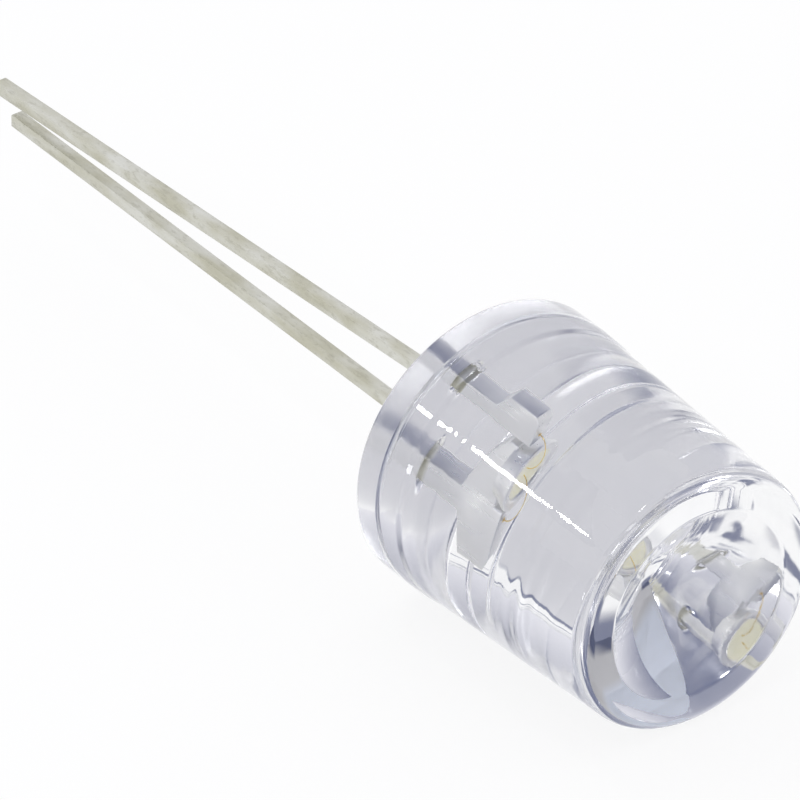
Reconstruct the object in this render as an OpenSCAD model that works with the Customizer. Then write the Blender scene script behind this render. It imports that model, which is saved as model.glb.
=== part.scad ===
// Clear 10 mm through-hole LED with a recessed wide-angle lens.
// It is built as the real one is: a stamped lead frame carries the die, and the lens is cast around it.
// Units are millimetres.
// The origin is the centre of the flange's back face, where the leads leave the casting.
// +X runs along the optical axis out through the lens.
// +Z runs from the cathode flat up to the anode side, so the LED lies on its flat.

/* [Cast body] */
// diameter of the cylindrical part of the lens
body_d = 10; // [8:0.1:14]
// how far the flange stands out beyond the body, measured on the radius
flange_lip = 0.5; // [0.3:0.05:1]
// thickness of the flange
flange_t = 1.5; // [1:0.1:2.5]
// overall length of the casting, from the seating face to the rim of the lens
total_h = 12.2; // [9:0.1:16]
// rounding on the flange's two outer corners
flange_edge_r = 0.2; // [0.05:0.05:0.4]
// fillet between the flange and the body
flange_fillet_r = 0.3; // [0.1:0.05:0.6]
// how far the cathode flat stands clear of the body, so the body does not touch first
flat_clearance = 0.05; // [0.02:0.01:0.2]

// size of the small epoxy meniscus that climbs each lead at the seating face
meniscus_r = 0.25; // [0.15:0.01:0.35]

/* [Lens front] */
// rounding on the outer edge of the front rim
rim_edge_r = 0.9; // [0.4:0.05:1.4]
// width of the rim left around the conical recess
rim_w = 1.06; // [0.8:0.02:1.6]
// angle between the recess wall and the optical axis, in degrees
recess_angle = 48; // [38:1:65]
// radius of the round bottom of the recess
recess_tip_r = 1.0; // [0.3:0.05:1.8]
// small rounding where the recess meets the rim
lip_r = 0.25; // [0.1:0.05:0.4]

/* [Leads] */
// distance between the two lead centres at the seating face
pitch = 2.54; // [2:0.01:3.5]
// side of the square lead
lead_w = 0.5; // [0.4:0.01:0.6]
// length of the anode lead outside the casting
anode_len = 29; // [15:0.1:32]
// length of the cathode lead outside the casting, the shorter of the two
cathode_len = 28; // [15:0.1:31]
// where the leads start to bend, measured back from the seating face
bend_start = 0.6; // [0.3:0.1:1.4]
// how far the anode tip has been bent towards the cathode
anode_drop = 2; // [0:0.05:2.2]
// how far the cathode tip has been bent the same way
cathode_drop = 0.35; // [0:0.05:1]
// how far the stubs stand out on each side of a lead where the tie bar was cut away
tie_stub = 0.12; // [0.05:0.01:0.2]
// where the stubs start, measured back from the seating face
tie_start = 1.5; // [1.5:0.1:3]
// length of the stubs along the lead
tie_len = 0.9; // [0.5:0.1:1.5]

/* [Posts inside the casting] */
// height of the bonding posts above the seating face
post_top = 4.2; // [3.4:0.1:6]
// height at which the plain posts widen
post_neck = 2.1; // [1.4:0.1:3]
// run over which the posts widen
neck_run = 0.5; // [0.2:0.05:1]
// how far each widened post reaches outwards beyond its lead centre
post_reach = 0.88; // [0.4:0.02:1.2]
// chamfer on the outer top corner of each post
post_chamfer = 0.2; // [0:0.05:0.4]
// gap between the reflector cup and the bonding posts
cup_gap = 0.14; // [0.08:0.01:0.25]

/* [Reflector cup and die] */
// inside diameter of the cup at its mouth
cup_mouth_d = 1.24; // [0.9:0.02:1.6]
// inside diameter of the cup floor
cup_floor_d = 0.84; // [0.6:0.02:1.1]
// inside depth of the cup
cup_depth = 0.5; // [0.35:0.01:0.7]
// thickness of the cup's wall at its mouth
cup_wall = 0.22; // [0.12:0.01:0.35]
// how far the cup mouth stands above the bonding posts
cup_rise = 0.3; // [0.1:0.02:0.5]
// side of the square die
die_w = 0.36; // [0.2:0.01:0.45]
// thickness of the die
die_t = 0.15; // [0.08:0.01:0.2]
// thickness of the adhesive under the die
attach_t = 0.04; // [0.02:0.005:0.06]
// how far the phosphor fill is dished below the cup mouth at its centre
phosphor_dish = 0.05; // [0.02:0.01:0.1]

/* [Bond wires] */
// diameter of the gold bond wire
wire_d = 0.03; // [0.02:0.005:0.05]
// distance of each bond pad from the die's centre
pad_off = 0.11; // [0.06:0.01:0.15]
// diameter of the ball bond on the die
ball_d = 0.08; // [0.05:0.01:0.12]
// height of the ball bond on the die
ball_h = 0.03; // [0.02:0.005:0.05]
// diameter of the wedge bond on a post
wedge_d = 0.1; // [0.06:0.01:0.16]

/* [Output] */
// which sub-part to draw

/* [Hidden] */

// cast body
body_r = body_d / 2;
flange_r = body_r + flange_lip;
flat_z = body_r + flat_clearance;
step_x = flange_t + flange_fillet_r;

// conical recess: the wall is tangent to the round bottom
open_r = body_r - rim_w;
recess_sin = sin(recess_angle);
recess_cos = cos(recess_angle);
recess_tan = tan(recess_angle);
cone_tip_x = total_h - open_r / recess_tan;
recess_ball_x = cone_tip_x + recess_tip_r / recess_sin;
recess_tan_r = recess_tip_r * recess_cos;
recess_tan_x = recess_ball_x - recess_tip_r * recess_sin;

// lip rounding: its circle touches the front plane and the recess wall
lip_c_x = total_h - lip_r;
lip_c_r = (lip_c_x - cone_tip_x) * recess_tan + lip_r / recess_cos;
lip_t_x = lip_c_x + lip_r * recess_sin;
lip_t_r = lip_c_r - lip_r * recess_cos;

// reflector cup and what stands in it
cup_mouth_x = post_top + cup_rise;
cup_floor_x = cup_mouth_x - cup_depth;
cup_out_r = cup_mouth_d / 2 + cup_wall;
cup_foot_r = cup_out_r - 0.12;
anvil_top_x = cup_floor_x - 0.25;
die_x = cup_floor_x + attach_t;
die_top_x = die_x + die_t;
dish_r = (pow(cup_mouth_d / 2, 2) + pow(phosphor_dish, 2)) / (2 * phosphor_dish);

// lead frame, drawn in its own plane
half_w = lead_w / 2;
lead_z = pitch / 2;
post_in = cup_out_r + cup_gap;
post_out = lead_z + post_reach;
meniscus_top_r = half_w * sqrt(2) + 0.01;

// bond wires: half circles from the die pads up over the cup wall and down to the posts
land_z = post_in + 0.3;
loop_r = (land_z - pad_off) / 2;
loop_z = (land_z + pad_off) / 2;
loop_x = max(die_top_x + ball_h, post_top + 0.02);

// facet counts of the drawn mesh
fn_body = 88;
fn_arc = 40;
fn_cup = 48;
fn_wire = 16;

// Turns a shape drawn about the vertical axis onto the optical axis.
module on_axis() {
    rotate([0, 90, 0]) children();
}

// Stamps a flat outline, drawn as (x, z), out of lead frame strip.
module stamp() {
    rotate([90, 0, 0])
        linear_extrude(height = lead_w, center = true)
            children();
}

// Half of the casting's section, as (radius, distance along the axis).
module casting_section() {
    difference() {
        union() {
            // body with its rounded front edge
            square([body_r, total_h - rim_edge_r]);
            square([body_r - rim_edge_r, total_h]);
            translate([body_r - rim_edge_r, total_h - rim_edge_r]) circle(r = rim_edge_r, $fn = fn_arc);
            // flange with its two rounded corners
            square([flange_r - flange_edge_r, flange_t]);
            translate([0, flange_edge_r]) square([flange_r, flange_t - 2 * flange_edge_r]);
            translate([flange_r - flange_edge_r, flange_edge_r]) circle(r = flange_edge_r, $fn = fn_arc);
            translate([flange_r - flange_edge_r, flange_t - flange_edge_r]) circle(r = flange_edge_r, $fn = fn_arc);
            // fillet in the corner between flange and body
            difference() {
                translate([body_r - 0.1, flange_t - 0.1]) square(flange_fillet_r + 0.1);
                translate([body_r + flange_fillet_r, flange_t + flange_fillet_r])
                    circle(r = flange_fillet_r, $fn = fn_arc);
            }
        }
        recess_section();
        lip_section();
    }
}

// The conical recess with its round bottom.
module recess_section() {
    far_x = total_h + 1;
    polygon([[-1, recess_tan_x], [recess_tan_r, recess_tan_x],
             [(far_x - cone_tip_x) * recess_tan, far_x], [-1, far_x]]);
    translate([0, recess_ball_x]) circle(r = recess_tip_r, $fn = fn_arc);
}

// What the lip rounding takes off the sharp corner.
module lip_section() {
    difference() {
        polygon([[lip_c_r, lip_c_x], [lip_t_r, lip_t_x],
                 [2 * open_r - lip_c_r, 2 * total_h - lip_c_x], [lip_c_r, total_h]]);
        translate([lip_c_r, lip_c_x]) circle(r = lip_r, $fn = fn_arc);
    }
}

// Epoxy drawn up round a lead while the casting cured.
module meniscus(side) {
    translate([0, 0, side * lead_z])
        rotate([0, -90, 0])
            rotate_extrude($fn = fn_cup)
                difference() {
                    translate([0, -0.1]) square([meniscus_top_r + meniscus_r, meniscus_r + 0.1]);
                    translate([meniscus_top_r + meniscus_r, meniscus_r]) circle(r = meniscus_r, $fn = fn_arc);
                }
}

// Clear epoxy cast around the lead frame, with the polarity flat on the flange.
module epoxy_body() {
    color([0.9, 0.92, 0.96, 0.4])
    difference() {
        union() {
            on_axis() rotate_extrude($fn = fn_body) casting_section();
            meniscus(1);
            meniscus(-1);
        }
        translate([-1, -body_d, -2 * body_d]) cube([1 + step_x, 2 * body_d, 2 * body_d - flat_z]);
        anode_shape();
        cathode_shape();
        phosphor_volume();
        wire_shape(1);
        wire_shape(-1);
    }
}

// Outline of a bent lead outside the casting, running on into the post as far as the neck.
module lead_outline(side, length, drop) {
    c = side * lead_z;
    fall = drop / (length - bend_start);
    stub_a = c - fall * (tie_start - bend_start);
    stub_b = stub_a - fall * tie_len;
    stub_w = half_w + tie_stub;
    polygon([[post_neck, c - half_w], [post_neck, c + half_w],
             [-bend_start, c + half_w], [-length, c + half_w - drop],
             [-length, c - half_w - drop], [-bend_start, c - half_w]]);
    polygon([[-tie_start, stub_a - stub_w], [-tie_start, stub_a + stub_w],
             [-tie_start - tie_len, stub_b + stub_w], [-tie_start - tie_len, stub_b - stub_w]]);
}

// Bonding post, drawn for the anode side.
module post_outline() {
    polygon([[post_neck - 0.2, lead_z - half_w], [post_neck, lead_z - half_w],
             [post_neck + neck_run / 2, post_in], [post_top, post_in],
             [post_top, post_out - post_chamfer], [post_top - post_chamfer, post_out],
             [post_neck + neck_run, post_out], [post_neck, lead_z + half_w],
             [post_neck - 0.2, lead_z + half_w]]);
}

// Anvil that carries the cup, reaching from the cathode post across the axis.
module anvil_outline() {
    reach = cup_foot_r + 0.06;
    polygon([[post_neck - 0.1, -lead_z + half_w], [post_neck - 0.1, -lead_z - 0.02],
             [anvil_top_x, -post_in - 0.1], [anvil_top_x, reach],
             [anvil_top_x - 0.45, reach], [post_neck + 0.35, -0.15]]);
}

module anode_shape() {
    stamp() {
        lead_outline(1, anode_len, anode_drop);
        post_outline();
    }
}

// The cathode is one stamping: lead, anvil, bonding post and the coined cup.
module cathode_shape() {
    stamp() {
        lead_outline(-1, cathode_len, cathode_drop);
        mirror([0, 1]) post_outline();
        anvil_outline();
    }
    on_axis() rotate_extrude($fn = fn_cup) cup_section();
}

// Half of the cup's wall and floor, as (radius, distance along the axis).
module cup_section() {
    polygon([[0, anvil_top_x - 0.1], [cup_foot_r, anvil_top_x - 0.1], [cup_foot_r, anvil_top_x + 0.08],
             [cup_out_r, cup_mouth_x - 0.12], [cup_out_r, cup_mouth_x], [cup_mouth_d / 2, cup_mouth_x],
             [cup_floor_d / 2, cup_floor_x], [0, cup_floor_x]]);
}

module anode_lead() {
    color([0.74, 0.73, 0.69]) anode_shape();
}

module cathode_lead() {
    color([0.74, 0.73, 0.69]) cathode_shape();
}

// Adhesive pad under the die.
module die_attach() {
    color([0.85, 0.85, 0.86])
    translate([cup_floor_x, 0, 0]) on_axis() cylinder(d = die_w * sqrt(2) + 0.06, h = attach_t, $fn = fn_cup);
}

module led_die() {
    color([0.35, 0.42, 0.5])
    translate([die_x, -die_w / 2, -die_w / 2]) cube([die_t, die_w, die_w]);
}

// Everything inside the cup, up to the slightly dished surface.
module phosphor_volume() {
    on_axis()
    rotate_extrude($fn = fn_cup)
    difference() {
        polygon([[0, cup_floor_x], [cup_floor_d / 2, cup_floor_x],
                 [cup_mouth_d / 2, cup_mouth_x], [0, cup_mouth_x]]);
        translate([0, cup_mouth_x - phosphor_dish + dish_r]) circle(r = dish_r, $fn = 360);
    }
}

// Yellow phosphor mixed into silicone, poured over the die.
module phosphor_fill() {
    color([0.85, 0.8, 0.2])
    difference() {
        phosphor_volume();
        die_attach();
        led_die();
        wire_shape(1);
        wire_shape(-1);
    }
}

// One bond wire with its ball on the die and its wedge on the post.
module wire_shape(side) {
    translate([loop_x, 0, side * loop_z])
        rotate([-90, -90, 0])
            rotate_extrude(angle = 180, $fn = 4 * fn_wire)
                translate([loop_r, 0]) circle(d = wire_d, $fn = fn_wire);
    translate([die_top_x, 0, side * pad_off]) on_axis() cylinder(d = ball_d, h = ball_h, $fn = 2 * fn_wire);
    translate([die_top_x, 0, side * pad_off])
        on_axis() cylinder(d = wire_d, h = loop_x - die_top_x, $fn = fn_wire);
    translate([post_top, 0, side * land_z])
        on_axis() cylinder(d = wedge_d, h = loop_x - post_top, $fn = 2 * fn_wire);
}

module wire_to_anode() {
    color([0.9, 0.75, 0.35]) wire_shape(1);
}

module wire_to_cathode() {
    color([0.9, 0.75, 0.35]) wire_shape(-1);
}

epoxy_body();
anode_lead();
cathode_lead();
led_die();
die_attach();
phosphor_fill();
wire_to_anode();
wire_to_cathode();
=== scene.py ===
# %% [markdown]
# # A clear 10 mm through-hole LED
# The real part is a stamped lead frame with a die in a tiny reflector cup, and clear epoxy cast around it.
# Its look is nearly all glass work: what the eye reads as grey zones, bright arcs and small dark marks
# are the lead frame, the rings round the base and the studio, bent by the cast body.
# So the lesson spends its care on three things: an exact cast surface, real pieces inside it, and a plain
# studio that gives the surface something to bend.

# %% Load the frame
import math

import bmesh
import bpy
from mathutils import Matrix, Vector


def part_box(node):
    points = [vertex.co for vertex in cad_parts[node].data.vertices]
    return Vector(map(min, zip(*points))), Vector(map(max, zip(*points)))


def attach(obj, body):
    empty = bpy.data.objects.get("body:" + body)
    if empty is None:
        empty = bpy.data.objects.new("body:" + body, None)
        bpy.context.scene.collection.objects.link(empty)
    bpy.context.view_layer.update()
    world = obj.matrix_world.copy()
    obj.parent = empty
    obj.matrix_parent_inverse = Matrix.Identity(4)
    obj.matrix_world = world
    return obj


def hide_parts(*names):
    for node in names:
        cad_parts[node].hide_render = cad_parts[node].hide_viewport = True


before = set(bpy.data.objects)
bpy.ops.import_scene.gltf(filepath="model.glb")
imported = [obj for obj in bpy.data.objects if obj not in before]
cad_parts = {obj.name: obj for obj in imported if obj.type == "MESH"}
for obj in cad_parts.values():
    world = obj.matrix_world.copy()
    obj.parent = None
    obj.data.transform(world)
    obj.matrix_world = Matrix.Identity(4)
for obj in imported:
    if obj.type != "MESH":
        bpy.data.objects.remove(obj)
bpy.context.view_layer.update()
MM = 0.001
print("nodes:", sorted(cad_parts))

# %% [markdown]
# ## Sizes that the finish needs
# Every overall size is read from the frame, so the looks can't drift from the construction.
# The draft is the slight taper that lets a casting out of its mould. In the photograph it runs from a body
# of 10 mm at the rounded front to the full width at the base, where two fine rings follow the mould's
# inserts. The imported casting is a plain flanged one, so this finer section replaces it, inside its box.
# Numbers are in millimetres, but for the angles and the shares.

# %% Read the sizes
cast_low, cast_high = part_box("epoxy_body")
CAST_LENGTH = cast_high.x / MM
BAND_RADIUS = cast_high.z / MM
BAND_LENGTH = 1.15
SEAT_EDGE = 0.15
GROOVE_RADIUS = 0.17
GROOVE_DEPTH = 0.1
GROOVE_EXIT = 0.106
JOINT = 2.4
JOINT_STEP = 0.045
JOINT_WIDTH = 0.34
RIPPLE_HEIGHT = 0.016
RIPPLE_LENGTH = 0.95
RIPPLE_END = 5.2
RIPPLE_LOSS = 0.6
FRONT_RADIUS = 5.0
DRAFT = math.radians(2.5)
RIM_EDGE = 0.6
RIM_WIDTH = 1.36
RECESS_ANGLE = math.radians(52)
RECESS_TIP_RADIUS = 1.6
LIP = 0.3
FLAT_BELOW_AXIS = -cast_low.z / MM
MENISCUS = 0.25
lead_low, lead_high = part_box("anode_lead")
LEAD_SIDE = (lead_high.y - lead_low.y) / MM
PITCH = 2.54
print("casting", round(CAST_LENGTH, 2), "mm long,", round(2 * BAND_RADIUS, 2), "mm across at its base")

# %% [markdown]
# ## The camera
# The photograph looks from the lens side, about 54 degrees round and 35 degrees above the table.
# A small thing photographed for a catalogue is shot from far away, so its far end looks no smaller than
# its near end. A long lens at half a metre gives that flat perspective.

# %% Place the camera
CAMERA_AZIMUTH = math.radians(53.6)
CAMERA_ELEVATION = math.radians(34.6)
CAMERA_DISTANCE = 500 * MM
FRAME_WIDTH = 27.56 * MM
AIM_RIGHT = -2.894 * MM
AIM_UP = 1.378 * MM
SENSOR_WIDTH = 36

to_camera = Vector((
    math.sin(CAMERA_AZIMUTH) * math.cos(CAMERA_ELEVATION),
    -math.cos(CAMERA_AZIMUTH) * math.cos(CAMERA_ELEVATION),
    math.sin(CAMERA_ELEVATION),
))
camera_turn = (-to_camera).to_track_quat("-Z", "Y")
aim = camera_turn @ Vector((AIM_RIGHT, AIM_UP, 0))
camera = bpy.data.objects.new("camera", bpy.data.cameras.new("camera"))
bpy.context.scene.collection.objects.link(camera)
bpy.context.scene.camera = camera
camera.rotation_mode = "QUATERNION"
camera.rotation_quaternion = camera_turn
camera.location = aim + to_camera * CAMERA_DISTANCE
camera.data.sensor_width = SENSOR_WIDTH
camera.data.lens = SENSOR_WIDTH * CAMERA_DISTANCE / FRAME_WIDTH
camera.data.clip_start = 10 * MM
camera.data.clip_end = 10
print("lens:", round(camera.data.lens), "mm")

# %% [markdown]
# ## The section of the casting
# A cast LED is a shape that follows a rule: one section, turned about the optical axis.
# The section is written as a list of (distance along the axis, radius) points. Straight stretches need
# only their ends, and each rounding is an arc with enough points to stay smooth when it bends light.
# From the back it has the plain band with its rounded corner, a groove, the mould's soft joint line, a few
# shrink ripples one or two hundredths of a millimetre deep that die away, the long drafted side, the
# rounded front edge, the rim, and the conical recess with its round bottom.

# %% Draw the section
JOINT_POINTS = 12
RIPPLE_POINTS = 40


def arc(centre_x, centre_r, radius, start_deg, end_deg, steps):
    """Points on an arc; 0 degrees points along the axis and 90 degrees points outwards."""
    turns = [math.radians(start_deg + (end_deg - start_deg) * i / steps) for i in range(steps + 1)]
    return [(centre_x + radius * math.cos(t), centre_r + radius * math.sin(t)) for t in turns]


def between(start, end, steps):
    """Evenly spaced points from start towards end, without the two ends."""
    return [(start[0] + (end[0] - start[0]) * i / steps, start[1] + (end[1] - start[1]) * i / steps)
            for i in range(1, steps)]


def side_radius(x):
    """Radius of the drafted side at a distance along the axis."""
    return FRONT_RADIUS + (CAST_LENGTH - RIM_EDGE + RIM_EDGE * math.sin(DRAFT) - x) * math.tan(DRAFT)


def ripple(x, start, share):
    """How far a shrink ripple sinks the side; it fades at both ends and weakens on its way."""
    wave = (1 - math.cos(math.tau * (x - start) / RIPPLE_LENGTH)) / 2
    fade = math.sin(math.pi * share) ** 2 * (1 - RIPPLE_LOSS * share)
    return RIPPLE_HEIGHT * fade * wave


def base_section():
    """The seating face, the band, the groove, the joint line and the shrink ripples."""
    groove_x = BAND_LENGTH + math.sqrt(GROOVE_RADIUS ** 2 - (GROOVE_RADIUS - GROOVE_DEPTH) ** 2)
    groove_r = side_radius(groove_x) + JOINT_STEP + GROOVE_RADIUS - GROOVE_DEPTH
    exit_r = side_radius(groove_x + GROOVE_EXIT) + JOINT_STEP
    enter = 180 + math.degrees(math.asin((groove_r - BAND_RADIUS) / GROOVE_RADIUS))
    leave = 360 - math.degrees(math.asin((groove_r - exit_r) / GROOVE_RADIUS))
    points = [(0, 0), (0, 0.5 * FRONT_RADIUS)]
    points += arc(SEAT_EDGE, BAND_RADIUS - SEAT_EDGE, SEAT_EDGE, 180, 90, 8)
    points += arc(groove_x, groove_r, GROOVE_RADIUS, enter, leave, 12)
    for i in range(JOINT_POINTS + 1):
        share = i / JOINT_POINTS
        x = JOINT + JOINT_WIDTH * (share - 0.5)
        points.append((x, side_radius(x) + JOINT_STEP * (1 + math.cos(math.pi * share)) / 2))
    start = points[-1][0]
    for i in range(1, RIPPLE_POINTS + 1):
        share = i / RIPPLE_POINTS
        x = start + (RIPPLE_END - start) * share
        points.append((x, side_radius(x) - ripple(x, start, share)))
    return points


def front_section():
    """The rounded front edge, the rim, its lip and the recess."""
    sin_a, cos_a, tan_a = math.sin(RECESS_ANGLE), math.cos(RECESS_ANGLE), math.tan(RECESS_ANGLE)
    angle_deg = math.degrees(RECESS_ANGLE)
    cone_tip = CAST_LENGTH - (FRONT_RADIUS - RIM_WIDTH) / tan_a
    ball = cone_tip + RECESS_TIP_RADIUS / sin_a
    lip_x = CAST_LENGTH - LIP
    lip_r = (lip_x - cone_tip) * tan_a + LIP / cos_a
    rim_r = FRONT_RADIUS - RIM_EDGE * math.cos(DRAFT)
    points = arc(CAST_LENGTH - RIM_EDGE, rim_r, RIM_EDGE, 90 - math.degrees(DRAFT), 0, 24)
    points += arc(lip_x, lip_r, LIP, 0, angle_deg - 90, 10)
    foot = (ball - RECESS_TIP_RADIUS * sin_a, RECESS_TIP_RADIUS * cos_a)
    points += between(points[-1], foot, 8)
    points += arc(ball, 0, RECESS_TIP_RADIUS, 90 + angle_deg, 180, 20)
    points[-1] = (ball - RECESS_TIP_RADIUS, 0)
    return points


base = base_section()
front = front_section()
section = base + between(base[-1], front[0], 6) + front
print("section points:", len(section), "recess floor at", round(section[-1][0], 2), "mm")

# %% [markdown]
# ## Turning the section
# The lathe is a Geometry Nodes tree, because turning is a rule that any section can follow.
# It lays out a grid with one row for each section point and one column for each step of the turn,
# reads the point's distance and radius, and moves each grid vertex to its place on the circle.
# The seam and the two poles close when the doubled vertices are merged.

# %% Build the lathe tree
SEAM_GAP = 0.0004 * MM


def link(tree, source, target):
    tree.links.new(source, target)


def add(tree, kind, **settings):
    """Adds a node and sets its properties."""
    node = tree.nodes.new(kind)
    for name, value in settings.items():
        setattr(node, name, value)
    return node


def maths(tree, operation, first, second=None):
    """One Math node, whose inputs are sockets or numbers."""
    node = add(tree, "ShaderNodeMath", operation=operation)
    for socket, value in zip(node.inputs, (first, second)):
        if value is None:
            continue
        if isinstance(value, (int, float)):
            socket.default_value = value
        else:
            link(tree, value, socket)
    return node.outputs[0]


def lathe_tree():
    tree = bpy.data.node_groups.new("turn_a_section", "GeometryNodeTree")
    tree.interface.new_socket("Section", in_out="INPUT", socket_type="NodeSocketGeometry")
    points_in = tree.interface.new_socket("Section Points", in_out="INPUT", socket_type="NodeSocketInt")
    steps_in = tree.interface.new_socket("Steps", in_out="INPUT", socket_type="NodeSocketInt")
    finish_in = tree.interface.new_socket("Finish", in_out="INPUT", socket_type="NodeSocketMaterial")
    tree.interface.new_socket("Turned", in_out="OUTPUT", socket_type="NodeSocketGeometry")
    source = add(tree, "NodeGroupInput")
    result = add(tree, "NodeGroupOutput")

    grid = add(tree, "GeometryNodeMeshGrid")
    link(tree, source.outputs["Section Points"], grid.inputs["Vertices X"])
    columns = maths(tree, "ADD", source.outputs["Steps"], 1)
    link(tree, columns, grid.inputs["Vertices Y"])

    index = add(tree, "GeometryNodeInputIndex").outputs[0]
    row = maths(tree, "FLOOR", maths(tree, "DIVIDE", index, columns))
    column = maths(tree, "SUBTRACT", index, maths(tree, "MULTIPLY", row, columns))
    angle = maths(tree, "MULTIPLY", maths(tree, "DIVIDE", column, source.outputs["Steps"]), math.tau)

    sample = add(tree, "GeometryNodeSampleIndex", data_type="FLOAT_VECTOR", domain="POINT")
    link(tree, source.outputs["Section"], sample.inputs["Geometry"])
    link(tree, add(tree, "GeometryNodeInputPosition").outputs[0], sample.inputs["Value"])
    link(tree, row, sample.inputs["Index"])
    split = add(tree, "ShaderNodeSeparateXYZ")
    link(tree, sample.outputs[0], split.inputs[0])
    place = add(tree, "ShaderNodeCombineXYZ")
    link(tree, split.outputs["X"], place.inputs["X"])
    link(tree, maths(tree, "MULTIPLY", split.outputs["Y"], maths(tree, "COSINE", angle)), place.inputs["Y"])
    link(tree, maths(tree, "MULTIPLY", split.outputs["Y"], maths(tree, "SINE", angle)), place.inputs["Z"])

    move = add(tree, "GeometryNodeSetPosition")
    link(tree, grid.outputs["Mesh"], move.inputs["Geometry"])
    link(tree, place.outputs[0], move.inputs["Position"])
    merge = add(tree, "GeometryNodeMergeByDistance")
    merge.inputs["Distance"].default_value = SEAM_GAP
    link(tree, move.outputs[0], merge.inputs["Geometry"])
    real = add(tree, "GeometryNodeRealizeInstances")
    link(tree, merge.outputs[0], real.inputs[0])
    paint = add(tree, "GeometryNodeSetMaterial")
    link(tree, real.outputs[0], paint.inputs["Geometry"])
    link(tree, source.outputs["Finish"], paint.inputs["Material"])
    link(tree, paint.outputs[0], result.inputs[0])
    names = {"points": points_in.identifier, "steps": steps_in.identifier, "finish": finish_in.identifier}
    return tree, names


turning, turning_inputs = lathe_tree()
print("lathe tree:", len(turning.nodes), "nodes")

# %% [markdown]
# ## Meshes out of modifiers
# The export wants plain meshes with nothing live on them. These helpers put a tree on an object, evaluate it
# once, and keep only the resulting mesh, with its place in its vertices and its object at the origin.
# The last ones merge doubled vertices, turn every face outwards, keep an edge crisp where the surface really
# turns a corner, put a piece on the one body and hide the imported node that it replaces.

# %% Helpers for plain meshes
DOUBLES_GAP = 0.0002 * MM


def link_object(name, mesh):
    """Puts a mesh in the scene as an object at the origin."""
    piece = bpy.data.objects.new(name, mesh)
    bpy.context.scene.collection.objects.link(piece)
    return piece


def freeze(piece):
    """Replaces a piece's mesh with what its modifiers make, and removes them."""
    bpy.context.view_layer.update()
    evaluated = piece.evaluated_get(bpy.context.evaluated_depsgraph_get())
    mesh = bpy.data.meshes.new_from_object(evaluated)
    mesh.name = piece.name
    piece.modifiers.clear()
    piece.data = mesh
    return piece


def polyline(name, points):
    """An object whose mesh is only a chain of edges through points in mm."""
    chain = bpy.data.meshes.new(name)
    edges = [(i, i + 1) for i in range(len(points) - 1)]
    chain.from_pydata([[value * MM for value in point] for point in points], edges, [])
    return link_object(name, chain)


def turned(name, outline, steps, finish):
    """Turns an outline of (axial, radius) points in mm about the optical axis."""
    piece = polyline(name, [(x, r, 0) for x, r in outline])
    modifier = piece.modifiers.new("turn", "NODES")
    modifier.node_group = turning
    modifier[turning_inputs["points"]] = len(outline)
    modifier[turning_inputs["steps"]] = steps
    modifier[turning_inputs["finish"]] = finish
    return freeze(piece)


def face_outwards(piece, crease_deg):
    """Merges doubles, turns every face outwards, and shades smooth except at creases."""
    work = bmesh.new()
    work.from_mesh(piece.data)
    bmesh.ops.remove_doubles(work, verts=work.verts, dist=DOUBLES_GAP)
    bmesh.ops.recalc_face_normals(work, faces=work.faces)
    crease = math.radians(crease_deg)
    for edge in work.edges:
        edge.smooth = not (len(edge.link_faces) == 2 and edge.calc_face_angle() > crease)
    for face in work.faces:
        face.smooth = True
    open_edges = sum(1 for edge in work.edges if len(edge.link_faces) != 2)
    work.to_mesh(piece.data)
    work.free()
    print(piece.name, len(piece.data.polygons), "faces,", open_edges, "open edges")
    return piece


def hand_over(piece, node):
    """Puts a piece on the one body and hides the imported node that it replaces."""
    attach(piece, "root")
    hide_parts(node)
    return piece


# %% [markdown]
# ## Shader helpers
# Patterns are sized in millimetres. Object coordinates are in metres, so one small step scales them,
# and every noise below can then be read as so many features to the millimetre.

# %% Helpers for materials


def new_finish(name):
    """A material with only its Principled shader and output."""
    finish = bpy.data.materials.new(name)
    finish.use_nodes = True
    tree = finish.node_tree
    shader = tree.nodes["Principled BSDF"]
    return finish, tree, shader


def axes_mm(tree):
    """The x, y and z of the object coordinates in millimetres."""
    split = add(tree, "ShaderNodeSeparateXYZ")
    link(tree, position_mm(tree), split.inputs[0])
    return split.outputs


def position_mm(tree, stretch=(1, 1, 1)):
    """Object coordinates in millimetres, stretched to draw a pattern out along an axis."""
    place = add(tree, "ShaderNodeTexCoord")
    scale = add(tree, "ShaderNodeMapping", vector_type="POINT")
    scale.inputs["Scale"].default_value = [s / MM for s in stretch]
    link(tree, place.outputs["Object"], scale.inputs["Vector"])
    return scale.outputs[0]


def noise(tree, vector, scale, detail=3.0, roughness=0.5):
    """A noise whose scale is a number or a socket."""
    node = add(tree, "ShaderNodeTexNoise")
    node.inputs["Detail"].default_value = detail
    node.inputs["Roughness"].default_value = roughness
    if isinstance(scale, (int, float)):
        node.inputs["Scale"].default_value = scale
    else:
        link(tree, scale, node.inputs["Scale"])
    link(tree, vector, node.inputs["Vector"])
    return node.outputs["Fac"]


def remap(tree, value, low, high, to_low, to_high):
    """Maps low..high to to_low..to_high, and stops at both ends."""
    node = add(tree, "ShaderNodeMapRange")
    for name, number in (("From Min", low), ("From Max", high), ("To Min", to_low), ("To Max", to_high)):
        node.inputs[name].default_value = number
    link(tree, value, node.inputs["Value"])
    return node.outputs["Result"]


def blend_colours(tree, factor, first, second):
    """Mixes two colours; each is a socket or an (r, g, b) value."""
    node = add(tree, "ShaderNodeMix", data_type="RGBA")
    link(tree, factor, node.inputs["Factor"])
    for socket, value in ((node.inputs["A"], first), (node.inputs["B"], second)):
        if isinstance(value, (tuple, list)):
            socket.default_value = (*value, 1)
        else:
            link(tree, value, socket)
    return node.outputs["Result"]


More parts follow.
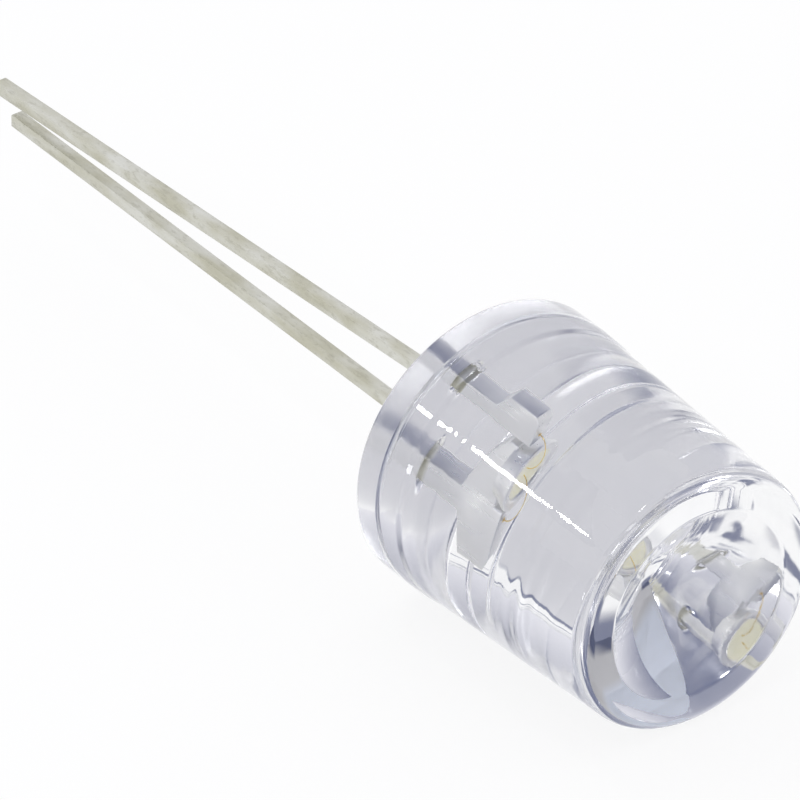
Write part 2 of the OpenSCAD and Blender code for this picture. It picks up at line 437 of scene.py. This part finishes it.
def blend_numbers(tree, factor, first, second):
    """Mixes two sockets that carry numbers."""
    node = add(tree, "ShaderNodeMix", data_type="FLOAT")
    link(tree, factor, node.inputs["Factor"])
    link(tree, first, node.inputs["A"])
    link(tree, second, node.inputs["B"])
    return node.outputs["Result"]


def bump(tree, height, strength, distance_mm, normal=None):
    """A bump over a height, on top of another bump's normal if one is given."""
    node = add(tree, "ShaderNodeBump")
    node.inputs["Strength"].default_value = strength
    node.inputs["Distance"].default_value = distance_mm * MM
    link(tree, height, node.inputs["Height"])
    if normal is not None:
        link(tree, normal, node.inputs["Normal"])
    return node.outputs["Normal"]


# %% [markdown]
# ## One mottle for every finish
# Tin, silicone, adhesive and gold all vary in the same two ways: slow patches a few features wide, and fine
# grain on top. One shader group makes both masks, so each material only says how large they are.
# The group gives out masks alone, and the shader that they feed stays in the material.

# %% Build the mottle group


def mottle_group():
    group = bpy.data.node_groups.new("patch_and_grain", "ShaderNodeTree")
    group.interface.new_socket("Place", in_out="INPUT", socket_type="NodeSocketVector")
    group.interface.new_socket("Patches per mm", in_out="INPUT", socket_type="NodeSocketFloat")
    group.interface.new_socket("Grains per mm", in_out="INPUT", socket_type="NodeSocketFloat")
    group.interface.new_socket("Patches", in_out="OUTPUT", socket_type="NodeSocketFloat")
    group.interface.new_socket("Grain", in_out="OUTPUT", socket_type="NodeSocketFloat")
    source = add(group, "NodeGroupInput")
    result = add(group, "NodeGroupOutput")
    patches = noise(group, source.outputs["Place"], source.outputs["Patches per mm"], 2.0, 0.55)
    grain = noise(group, source.outputs["Place"], source.outputs["Grains per mm"], 4.0, 0.65)
    link(group, remap(group, patches, 0.35, 0.65, 0, 1), result.inputs["Patches"])
    link(group, remap(group, grain, 0.38, 0.64, 0, 1), result.inputs["Grain"])
    return group


patch_and_grain = mottle_group()


def mottle(tree, place, patches_per_mm, grains_per_mm):
    """Places the group in a material and returns its two masks."""
    node = add(tree, "ShaderNodeGroup", node_tree=patch_and_grain)
    node.inputs["Patches per mm"].default_value = patches_per_mm
    node.inputs["Grains per mm"].default_value = grains_per_mm
    link(tree, place, node.inputs["Place"])
    return node.outputs["Patches"], node.outputs["Grain"]


print("group nodes:", len(patch_and_grain.nodes))

# %% [markdown]
# ## Clear cast epoxy
# Epoxy bends light a little more than window glass, and its mirror skin comes from a polished mould.
# A perfect skin looks computed, so a very shallow, slow wave is added, with a trace of haze in patches.
# The wave runs round the body in soft bands, as the resin shrank between the mould and the lead frame.
# Only the seating face never touched the mould: it is where the resin was poured, and it stays a little dull.

# %% Make the epoxy finish
EPOXY_TINT = (0.985, 0.988, 0.995, 1)
EPOXY_BENDING = 1.53
SEAT_ROUGHNESS = 0.12
HAZE_ROUGHNESS = 0.03


def cast_epoxy():
    finish, tree, shader = new_finish("clear_cast_epoxy")
    shader.inputs["Base Color"].default_value = EPOXY_TINT
    shader.inputs["Transmission Weight"].default_value = 1.0
    shader.inputs["IOR"].default_value = EPOXY_BENDING
    haze, ripple = mottle(tree, position_mm(tree), 0.8, 2.2)
    seat = remap(tree, axes_mm(tree)["X"], 0.02, 0.06, SEAT_ROUGHNESS, 0.0)
    patches = remap(tree, haze, 0.4, 1.0, 0.0, HAZE_ROUGHNESS)
    link(tree, maths(tree, "ADD", patches, seat), shader.inputs["Roughness"])
    wave = noise(tree, position_mm(tree, (1.4, 0.6, 0.6)), 0.42, 1.0)
    skin = bump(tree, wave, 0.35, 0.05)
    link(tree, bump(tree, ripple, 0.06, 0.004, skin), shader.inputs["Normal"])
    return finish


epoxy_finish = cast_epoxy()
print("made", epoxy_finish.name)

# %% [markdown]
# ## The cast body
# The turned body gets its polarity flat, on which it lies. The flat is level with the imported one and
# parallel to the axis, so it fades out where the tapering body gets slimmer than that. One block, taken
# away with an exact boolean, leaves it with true edges.

# %% Turn the body and take off the flat
BODY_STEPS = 240
BODY_CREASE = 20
cast_body = turned("cast_body", section, BODY_STEPS, epoxy_finish)
face_outwards(cast_body, BODY_CREASE)


def block(name, low, high):
    """A closed block between two corners in mm, to cut with."""
    work = bmesh.new()
    bmesh.ops.create_cube(work, size=1)
    for vertex in work.verts:
        vertex.co = [((a + b) / 2 + (b - a) * c) * MM for a, b, c in zip(low, high, vertex.co)]
    mesh = bpy.data.meshes.new(name)
    work.to_mesh(mesh)
    work.free()
    return link_object(name, mesh)


def combine(piece, other, operation):
    """Joins or takes away one closed piece, with the exact solver, and drops it."""
    step = piece.modifiers.new("combine", "BOOLEAN")
    step.operation = operation
    step.solver = "EXACT"
    step.object = other
    freeze(piece)
    bpy.data.objects.remove(other)


below_flat = block("below_flat", (-1, -8, -8), (14, 8, -FLAT_BELOW_AXIS))
combine(cast_body, below_flat, "DIFFERENCE")
print("flat at", round(FLAT_BELOW_AXIS, 3), "mm below the axis")

# %% [markdown]
# ## Menisci
# Liquid epoxy climbs a little way up each lead before it cures. Each meniscus is turned the same way, moved
# to its lead, and joined with a boolean union, so that no inner wall is left for light to catch on.

# %% Join the menisci
LEAD_GAP = 0.01
MENISCUS_ROOT = 0.4


def meniscus(side):
    """A fillet of epoxy round one lead; its root reaches into the casting to be joined there."""
    top = LEAD_SIDE / 2 * math.sqrt(2) + LEAD_GAP
    outline = [(MENISCUS_ROOT, 0), (MENISCUS_ROOT, top + MENISCUS)]
    outline += arc(-MENISCUS, top + MENISCUS, MENISCUS, 0, -90, 10)
    outline += [(-MENISCUS, 0)]
    ring = turned("meniscus", outline, 64, epoxy_finish)
    for vertex in ring.data.vertices:
        vertex.co.z += side * PITCH / 2 * MM
    return face_outwards(ring, 40)


for side in (1, -1):
    combine(cast_body, meniscus(side), "UNION")
face_outwards(cast_body, BODY_CREASE)
hand_over(cast_body, "epoxy_body")

# %% [markdown]
# ## Tinned lead frame
# The leads are dull tin over steel: a soft grey metal with a warm cast, drawn out along the strip, with
# finger marks and small darker specks. Inside the casting the same strip was plated with silver so that it
# throws light forwards, so the finish turns paler and brighter past the seating face.

# %% Make the tin finish
TIN_DULL, TIN_PALE, TIN_SPECK = (0.54, 0.53, 0.43), (0.69, 0.69, 0.64), (0.36, 0.35, 0.28)
SILVER = (0.96, 0.96, 0.95)


def tinned_strip():
    finish, tree, shader = new_finish("tinned_lead_frame")
    shader.inputs["Metallic"].default_value = 1.0
    slow, fine = mottle(tree, position_mm(tree, (0.4, 1, 1)), 1.1, 6.0)
    drawn = noise(tree, position_mm(tree, (0.4, 14, 14)), 1.0, 2.0)
    tin = blend_colours(tree, slow, TIN_DULL, TIN_PALE)
    tin = blend_colours(tree, remap(tree, fine, 0.6, 1.0, 0, 0.35), tin, TIN_SPECK)
    inside = remap(tree, axes_mm(tree)["X"], -0.05, 0.25, 0, 1)
    link(tree, blend_colours(tree, inside, tin, SILVER), shader.inputs["Base Color"])
    dull = remap(tree, drawn, 0.3, 0.7, 0.34, 0.5)
    bright = remap(tree, drawn, 0.3, 0.7, 0.26, 0.42)
    link(tree, blend_numbers(tree, inside, dull, bright), shader.inputs["Roughness"])
    skin = bump(tree, drawn, 0.35, 0.01)
    link(tree, bump(tree, fine, 0.3, 0.004, skin), shader.inputs["Normal"])
    return finish


tin_finish = tinned_strip()
print("made", tin_finish.name)

# %% [markdown]
# ## Leads with softened edges
# A stamped and plated edge is never sharp: it catches a thin line of light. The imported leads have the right
# shape, so each is copied, its triangles are dissolved back into flat faces, and its edges are bevelled.

# %% Soften the leads
LEAD_EDGE = 0.045
BEVEL_SEGMENTS = 3
FLAT_WITHIN = math.radians(0.8)
CORNER_FROM = math.radians(35)


def softened(name, node):
    """A copy of a packed lead, with bevelled edges and the tin finish."""
    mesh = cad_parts[node].data.copy()
    mesh.materials.clear()
    mesh.materials.append(tin_finish)
    piece = link_object(name, mesh)
    work = bmesh.new()
    work.from_mesh(mesh)
    bmesh.ops.remove_doubles(work, verts=work.verts, dist=0.001 * MM)
    bmesh.ops.dissolve_limit(work, angle_limit=FLAT_WITHIN, verts=work.verts, edges=work.edges)
    work.to_mesh(mesh)
    work.free()
    bevel = piece.modifiers.new("edge", "BEVEL")
    bevel.width = LEAD_EDGE * MM
    bevel.segments = BEVEL_SEGMENTS
    bevel.limit_method = "ANGLE"
    bevel.angle_limit = CORNER_FROM
    bevel.harden_normals = False
    freeze(piece)
    face_outwards(piece, 40)
    return hand_over(piece, node)


softened("anode_strip", "anode_lead")
softened("cathode_strip", "cathode_lead")

# %% [markdown]
# ## What sits in the cup
# The phosphor is a coarse powder in silicone, pale yellow when the die is dark. Phosphor turns blue light
# yellow, but the faint glow given to it here is painted light that brightens it, as little light reaches it
# through the casting.
# The die under it is a mirror-flat chip, and the adhesive is grey with silver flakes. The die and its
# adhesive keep their imported meshes and get finishes in their slots. The phosphor shrinks as it cures, so it
# is turned anew as a pool that creeps up the cup's wall and dishes deep in the middle.

# %% Make the cup's finishes
# Painted light: the phosphor's faint glow, though it is no lamp.
PHOSPHOR_PAINTED_LIGHT = (1.0, 0.97, 0.76, 1)
PHOSPHOR_PAINTED_LIGHT_STRENGTH = 0.26


def speckled(name, first, second, grains_per_mm, roughness, relief):
    """A finish between two colours, in fine grains over slow patches, with the grain as relief in mm."""
    finish, tree, shader = new_finish(name)
    patches, grain = mottle(tree, position_mm(tree), grains_per_mm / 6, grains_per_mm)
    mixed = maths(tree, "ADD", maths(tree, "MULTIPLY", patches, 0.35), maths(tree, "MULTIPLY", grain, 0.65))
    link(tree, blend_colours(tree, mixed, first, second), shader.inputs["Base Color"])
    link(tree, remap(tree, mixed, 0, 1, roughness, roughness + 0.2), shader.inputs["Roughness"])
    link(tree, bump(tree, grain, 0.5, relief), shader.inputs["Normal"])
    return finish


phosphor_finish = speckled("phosphor_in_silicone", (0.97, 0.95, 0.68), (1.0, 0.99, 0.86), 18, 0.35, 0.01)
adhesive_finish = speckled("silver_adhesive", (0.50, 0.50, 0.52), (0.86, 0.86, 0.88), 30, 0.3, 0.004)
die_finish = speckled("polished_die", (0.10, 0.13, 0.20), (0.20, 0.25, 0.34), 12, 0.08, 0.001)


def refinish(node, finish):
    """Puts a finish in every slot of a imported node."""
    for material_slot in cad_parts[node].material_slots:
        material_slot.material = finish
    print(node, "now has", finish.name)


# Painted light: the phosphor is made to glow faintly, to brighten it inside the casting.
phosphor_shader = phosphor_finish.node_tree.nodes["Principled BSDF"]
phosphor_shader.inputs["Emission Color"].default_value = PHOSPHOR_PAINTED_LIGHT
phosphor_shader.inputs["Emission Strength"].default_value = PHOSPHOR_PAINTED_LIGHT_STRENGTH
refinish("die_attach", adhesive_finish)
refinish("led_die", die_finish)

# %% [markdown]
# ## The phosphor pool
# The pool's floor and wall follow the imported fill, whose box gives its depth and width. Its surface is one
# arc of a large circle, from high on the cup's wall down to the middle.

# %% Turn the phosphor pool
CUP_FLOOR_RADIUS = 0.42
POOL_EDGE_DROP = 0.1
POOL_DISH = 0.12


def phosphor_pool():
    """The phosphor, from the cup's floor up its conical wall to a dished surface."""
    low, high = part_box("phosphor_fill")
    floor_x, mouth_x, mouth_r = low.x / MM, high.x / MM, high.y / MM
    edge_x = mouth_x - POOL_EDGE_DROP
    edge_r = mouth_r - (mouth_r - CUP_FLOOR_RADIUS) * POOL_EDGE_DROP / (mouth_x - floor_x)
    circle = (edge_r ** 2 + POOL_DISH ** 2) / (2 * POOL_DISH)
    spread = math.degrees(math.asin(edge_r / circle))
    outline = [(floor_x, 0), (floor_x, CUP_FLOOR_RADIUS)]
    outline += arc(edge_x - POOL_DISH + circle, 0, circle, 180 - spread, 180, 12)
    outline[-1] = (edge_x - POOL_DISH, 0)
    pool = face_outwards(turned("phosphor_pool", outline, 64, phosphor_finish), 30)
    return hand_over(pool, "phosphor_fill")


phosphor_pool()

# %% [markdown]
# ## Bond wires
# Each wire is gold, thinner than a hair. It starts in a ball pressed on the die, loops over the cup's wall
# and ends in a wedge on a post. A wire is a thing that follows a path, so a Geometry Nodes tree sweeps a
# round profile along whatever path it is given.

# %% Build the wire tree


def wire_tree():
    tree = bpy.data.node_groups.new("sweep_a_wire", "GeometryNodeTree")
    tree.interface.new_socket("Path", in_out="INPUT", socket_type="NodeSocketGeometry")
    names = {}
    for name, kind in (("Wire Radius", "Float"), ("Sides", "Int"), ("Finish", "Material")):
        socket = tree.interface.new_socket(name, in_out="INPUT", socket_type="NodeSocket" + kind)
        names[name] = socket.identifier
    tree.interface.new_socket("Wire", in_out="OUTPUT", socket_type="NodeSocketGeometry")
    source = add(tree, "NodeGroupInput")
    result = add(tree, "NodeGroupOutput")
    path = add(tree, "GeometryNodeMeshToCurve")
    link(tree, source.outputs["Path"], path.inputs[0])
    ring = add(tree, "GeometryNodeCurvePrimitiveCircle")
    link(tree, source.outputs["Sides"], ring.inputs["Resolution"])
    link(tree, source.outputs["Wire Radius"], ring.inputs["Radius"])
    sweep = add(tree, "GeometryNodeCurveToMesh")
    sweep.inputs["Fill Caps"].default_value = True
    link(tree, path.outputs[0], sweep.inputs["Curve"])
    link(tree, ring.outputs[0], sweep.inputs["Profile Curve"])
    real = add(tree, "GeometryNodeRealizeInstances")
    link(tree, sweep.outputs[0], real.inputs[0])
    paint = add(tree, "GeometryNodeSetMaterial")
    link(tree, real.outputs[0], paint.inputs["Geometry"])
    link(tree, source.outputs["Finish"], paint.inputs["Material"])
    link(tree, paint.outputs[0], result.inputs[0])
    return tree, names


sweeping, sweeping_inputs = wire_tree()
print("wire tree:", len(sweeping.nodes), "nodes")

# %% [markdown]
# ## Looping the wires
# The loop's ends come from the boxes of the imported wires, so the ball meets the die and the wedge meets its
# post. The bonding tool presses both flat, so their sections bulge. The lathe tree turns them, and they are
# joined to the swept wire.

# %% Loop the wires
BALL_RADIUS, BALL_HEIGHT = 0.04, 0.03
WEDGE_RADIUS, WEDGE_HEIGHT = 0.05, 0.02
WIRE_RADIUS, WIRE_SIDES = 0.015, 12
LOOP_STEPS = 40
WIRE_SINK = 0.005
gold_finish = speckled("drawn_gold", (0.86, 0.64, 0.27), (0.95, 0.76, 0.40), 25, 0.22, 0.001)
gold_finish.node_tree.nodes["Principled BSDF"].inputs["Metallic"].default_value = 1.0


def dab(name, base_x, height, radius, z):
    """A pressed dab of gold: flat on its base, bulging at its side."""
    outline = [(base_x, 0)]
    outline += arc(base_x + height / 2, radius - height / 2, height / 2, 180, 0, 8)
    outline += [(base_x + height, 0)]
    piece = turned(name, outline, 24, gold_finish)
    for vertex in piece.data.vertices:
        vertex.co.z += z * MM
    return piece


def bond_wire(name, node, side):
    """A wire that rises from its ball, loops outwards and comes down on its wedge."""
    low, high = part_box(node)
    near = min(abs(low.z), abs(high.z)) / MM + BALL_RADIUS
    far = max(abs(low.z), abs(high.z)) / MM - WEDGE_RADIUS
    base_x = low.x / MM
    radius = (far - near) / 2
    loop_x = high.x / MM - WIRE_RADIUS - radius
    middle = (near + far) / 2
    turns = [math.pi * i / LOOP_STEPS for i in range(LOOP_STEPS + 1)]
    path = [(base_x + WIRE_SINK, 0, side * near)]
    path += [(loop_x + radius * math.sin(t), 0, side * (middle - radius * math.cos(t))) for t in turns]
    piece = polyline(name, path)
    step = piece.modifiers.new("sweep", "NODES")
    step.node_group = sweeping
    step[sweeping_inputs["Wire Radius"]] = WIRE_RADIUS * MM
    step[sweeping_inputs["Sides"]] = WIRE_SIDES
    step[sweeping_inputs["Finish"]] = gold_finish
    freeze(piece)
    dabs = [dab("ball", base_x, BALL_HEIGHT, BALL_RADIUS, side * near),
            dab("foot", loop_x - WEDGE_HEIGHT, WEDGE_HEIGHT, WEDGE_RADIUS, side * far)]
    work = bmesh.new()
    work.from_mesh(piece.data)
    for extra in dabs:
        work.from_mesh(extra.data)
        bpy.data.objects.remove(extra)
    work.to_mesh(piece.data)
    work.free()
    face_outwards(piece, 40)
    return hand_over(piece, node)


bond_wire("wire_over_anode_side", "wire_to_anode", 1)
bond_wire("wire_over_cathode_side", "wire_to_cathode", -1)

# %% [markdown]
# ## The table
# The part lies on its flat, so its axis is level with a plain table.
# A clear part shows what lies behind it. Close under the part the table carries painted shade, a pale cool
# grey with painted bluish light where the casting gathers light below its front, painted dark lines where it
# bends the light away, and the painted shade of the leads. Further off the table is white. That painted
# pattern is what the table gives to the rays that the casting bends; the camera and plain reflections see the
# table itself.

# %% Lay the table
TABLE_HALF = 0.6
SHADE_NEAR, SHADE_FAR = 9, 42
# Painted shade and painted light that the table shows to the rays that the casting bends.
SHADED_TABLE = (0.62, 0.62, 0.66)
PAINTED_SHADE_COLOUR = (0.07, 0.09, 0.20)
PAINTED_SHADE_LINES_PER_MM = 0.33
GATHERED_LIGHT = (0.74, 0.79, 0.93)
WHITE = (1, 1, 1)
TABLE_GREY, TABLE_PALE = (0.91, 0.91, 0.925), (0.93, 0.93, 0.94)
TABLE_ROUGHNESS = 0.8
WHITE_SHARE = 0.88


def shade_under_part(tree):
    """The table's colour as the casting shows it: its painted shade, the painted light it gathers and the
    painted dark lines.
    """
    away = add(tree, "ShaderNodeVectorMath", operation="LENGTH")
    link(tree, position_mm(tree), away.inputs[0])
    # Painted shade: a pale cool grey close under the part, fading to white further off.
    far = remap(tree, away.outputs["Value"], SHADE_NEAR, SHADE_FAR, 0, 1)
    shade = blend_colours(tree, far, SHADED_TABLE, WHITE)
    axes = axes_mm(tree)
    along, across = axes["X"], axes["Y"]

    def patch(x_low, x_high, y_low, y_high, soft):
        """One where the table lies within a rectangle in mm, fading to nought over its soft edge."""
        inside = 1.0
        for place, low, high in ((along, x_low, x_high), (across, y_low, y_high)):
            inside = maths(tree, "MULTIPLY", remap(tree, place, low - soft, low + soft, 0, 1), inside)
            inside = maths(tree, "MULTIPLY", remap(tree, place, high - soft, high + soft, 1, 0), inside)
        return inside

    behind = remap(tree, along, -1.5, -0.9, 1, 0)
    shade = blend_colours(tree, behind, shade, WHITE)
    # Painted light: a bluish patch under the front stands for the light that the casting gathers there.
    below_front = patch(5, 11, -4.5, 1.6, 0.6)
    shade = blend_colours(tree, below_front, shade, GATHERED_LIGHT)
    # Painted shade: dark lines where the casting bends the light away, and dark patches under the seat's edge
    # and under the leads.
    painted_shade_lines = noise(tree, position_mm(tree, (1, 0.6, 1)), PAINTED_SHADE_LINES_PER_MM, 1.0, 0.5)
    dark = maths(tree, "MULTIPLY", remap(tree, painted_shade_lines, 0.40, 0.47, 1, 0), behind)
    below_seat, below_leads = patch(-1.0, 1.4, 0.0, 3.0, 0.3), patch(-13, -6.5, -2.4, 2.4, 0.7)
    dark = maths(tree, "MAXIMUM", dark, below_seat)
    dark = maths(tree, "MAXIMUM", dark, below_leads)
    return blend_colours(tree, dark, shade, PAINTED_SHADE_COLOUR)


def pale_table():
    """White to the camera, shaded to the rays that the casting bends, and dimmed where a shadow falls."""
    finish, tree, shader = new_finish("pale_table")
    shader.inputs["Roughness"].default_value = TABLE_ROUGHNESS
    patches = mottle(tree, position_mm(tree), 0.02, 0.6)[0]
    link(tree, blend_colours(tree, patches, TABLE_GREY, TABLE_PALE), shader.inputs["Base Color"])
    white = add(tree, "ShaderNodeEmission")
    white.inputs["Color"].default_value = (*WHITE, 1)
    bent = add(tree, "ShaderNodeEmission")
    link(tree, shade_under_part(tree), bent.inputs["Color"])
    path = add(tree, "ShaderNodeLightPath")
    glow = add(tree, "ShaderNodeMixShader")
    link(tree, path.outputs["Is Transmission Ray"], glow.inputs["Fac"])
    link(tree, white.outputs[0], glow.inputs[1])
    link(tree, bent.outputs[0], glow.inputs[2])
    seen = maths(tree, "MAXIMUM", path.outputs["Is Camera Ray"], path.outputs["Is Glossy Ray"])
    seen = maths(tree, "MAXIMUM", seen, path.outputs["Is Transmission Ray"])
    blend = add(tree, "ShaderNodeMixShader")
    link(tree, maths(tree, "MULTIPLY", seen, WHITE_SHARE), blend.inputs["Fac"])
    link(tree, shader.outputs[0], blend.inputs[1])
    link(tree, glow.outputs[0], blend.inputs[2])
    link(tree, blend.outputs[0], tree.nodes["Material Output"].inputs["Surface"])
    return finish


sheet = bmesh.new()
bmesh.ops.create_grid(sheet, x_segments=8, y_segments=8, size=TABLE_HALF)
for vertex in sheet.verts:
    vertex.co.z = -FLAT_BELOW_AXIS * MM
table_mesh = bpy.data.meshes.new("table")
sheet.to_mesh(table_mesh)
sheet.free()
table_mesh.materials.append(pale_table())
table = link_object("table", table_mesh)

# %% [markdown]
# ## Studio light
# A pale room lights the part from all round, and a few soft lamps shape it. Overhead and behind the camera
# the room is darker, because a lens, a tripod and an unlit ceiling are there, and clear things need that:
# it is what draws the dark blue edges in the front of the casting. The lamps become its white marks. Each
# lamp is listed with the direction it stands in, its two sides in millimetres and its power in watts.

# %% Light the studio
ROOM_COLOUR = (0.97, 0.97, 1.0)
LOW_COLOUR = (0.80, 0.80, 0.86)
HIGH_COLOUR = (0.07, 0.09, 0.20)
DARK_COLOUR = (0.03, 0.04, 0.12)
DARK_REACH, DARK_SOFTNESS = 30, 6
CEILING_FROM = 0.85
LAMP_DISTANCE = 300
LAMPS = (
    ("key_panel", (0.2, -0.5, 1.0), 90, 40, 0.05),
    ("left_panel", (-0.46, -0.17, 0.87), 30, 30, 0.05),
    ("side_lamp", (-0.583, -0.619, 0.520), 14, 11, 0.022),
    ("low_lamp", (-0.33, -0.94, 0.06), 40, 30, 0.03),
    ("arc_lamp", (0.33, -0.67, 0.67), 50, 50, 0.08),
    ("back_panel", (-0.2, 1.0, 0.6), 80, 80, 0.03),
)


def studio_world():
    """White to the camera, pale to mirrors, and darker upwards to the rays that the casting bends."""
    world = bpy.data.worlds.new("pale_studio")
    bpy.context.scene.world = world
    world.use_nodes = True
    tree = world.node_tree
    tree.nodes.clear()
    out = add(tree, "ShaderNodeOutputWorld")
    white = add(tree, "ShaderNodeBackground")
    white.inputs["Color"].default_value = (*WHITE, 1)
    room = add(tree, "ShaderNodeBackground")
    place = add(tree, "ShaderNodeTexCoord")
    towards = add(tree, "ShaderNodeVectorMath", operation="DOT_PRODUCT")
    towards.inputs[1].default_value = to_camera
    link(tree, place.outputs["Generated"], towards.inputs[0])
    outer, inner = (math.cos(math.radians(DARK_REACH + soft)) for soft in (DARK_SOFTNESS, -DARK_SOFTNESS))
    dark = remap(tree, towards.outputs["Value"], outer, inner, 0, 1)
    split = add(tree, "ShaderNodeSeparateXYZ")
    link(tree, place.outputs["Generated"], split.inputs[0])
    height = remap(tree, split.outputs["Z"], 0.0, CEILING_FROM, 0, 1)
    bent = blend_colours(tree, height, LOW_COLOUR, HIGH_COLOUR)
    path = add(tree, "ShaderNodeLightPath")
    pale = blend_colours(tree, path.outputs["Is Transmission Ray"], ROOM_COLOUR, bent)
    link(tree, blend_colours(tree, dark, pale, DARK_COLOUR), room.inputs["Color"])
    blend = add(tree, "ShaderNodeMixShader")
    link(tree, path.outputs["Is Camera Ray"], blend.inputs["Fac"])
    link(tree, room.outputs[0], blend.inputs[1])
    link(tree, white.outputs[0], blend.inputs[2])
    link(tree, blend.outputs[0], out.inputs["Surface"])


def panel(name, direction, width_mm, height_mm, watts):
    """A soft rectangular lamp that faces the part from a direction in the part's frame."""
    lamp = bpy.data.lights.new(name, "AREA")
    lamp.shape = "RECTANGLE"
    lamp.size = width_mm * MM
    lamp.size_y = height_mm * MM
    lamp.energy = watts
    holder = bpy.data.objects.new(name, lamp)
    bpy.context.scene.collection.objects.link(holder)
    towards = Vector(direction).normalized()
    holder.rotation_mode = "QUATERNION"
    holder.rotation_quaternion = towards.to_track_quat("Z", "Y")
    holder.location = towards * LAMP_DISTANCE * MM + Vector((CAST_LENGTH / 2 * MM, 0, 0))


studio_world()
for lamp_row in LAMPS:
    panel(*lamp_row)
scene = bpy.context.scene
scene.view_settings.view_transform = "Standard"
scene.cycles.max_bounces = 32
scene.cycles.transmission_bounces = 24
scene.cycles.glossy_bounces = 16
